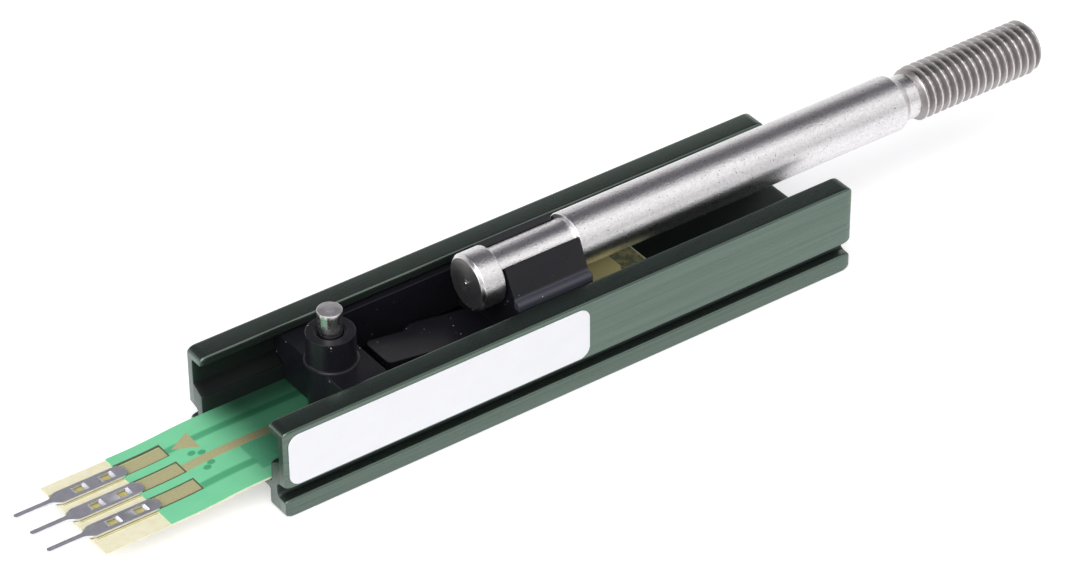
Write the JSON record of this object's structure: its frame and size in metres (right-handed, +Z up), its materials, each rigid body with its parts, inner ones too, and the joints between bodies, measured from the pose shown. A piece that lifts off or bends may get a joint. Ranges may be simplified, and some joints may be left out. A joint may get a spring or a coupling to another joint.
{
  "type": "linear transducer",
  "caption": "Open-channel membrane linear position transducer with a sliding carriage, sprung wiper pin, threaded pull rod and solder pins on its film tail.",
  "frame": {"origin": "under the middle of the whole length, from the contact pins to the rod's end, on the plane that the housing's feet stand on", "axes": "+X along the pull rod towards its thread, +Y across the housing away from the label, +Z up out of the housing's open side"},
  "size_m": [0.1008, 0.0143, 0.0124],
  "materials": {
    "anodised_housing": "dark green-grey anodised, finely brushed along its length",
    "label_white": "blank white film label",
    "film_bare": "bare cream polyester film",
    "film_green": "translucent green covered film",
    "contact_steel": "tinned stamped sheet",
    "carriage_black": "black moulded plastic",
    "turned_steel": "turned and ground steel"
  },
  "bodies": {
    "housing": {"housing": "anodised_housing", "label": "label_white", "base_film": "film_bare", "film_spacer": "film_bare", "top_film": "film_green", "contact_1": "contact_steel", "contact_2": "contact_steel", "contact_3": "contact_steel"},
    "carriage": {"carriage": "carriage_black", "wiper_spring": "turned_steel"},
    "wiper": {"wiper_pin": "turned_steel"},
    "rod": {"pull_rod": "turned_steel"}
  },
  "joints": [
    {"name": "carriage_slide", "type": "slide", "parent": "housing", "child": "carriage", "axis": [1, 0, 0], "range_m": [0, 0.025]},
    {"name": "rod_spin", "type": "hinge", "parent": "carriage", "child": "rod", "pos_m": [-0.00691, 0, 0.00924], "axis": [1, 0, 0], "continuous": true},
    {"name": "wiper_plunge", "type": "slide", "parent": "carriage", "child": "wiper", "axis": [0, 0, 1], "range_m": [0, 0.001], "stiffness_N_per_m": 200, "springref_m": -0.004, "deforming": ["wiper_spring"]}
  ]
}
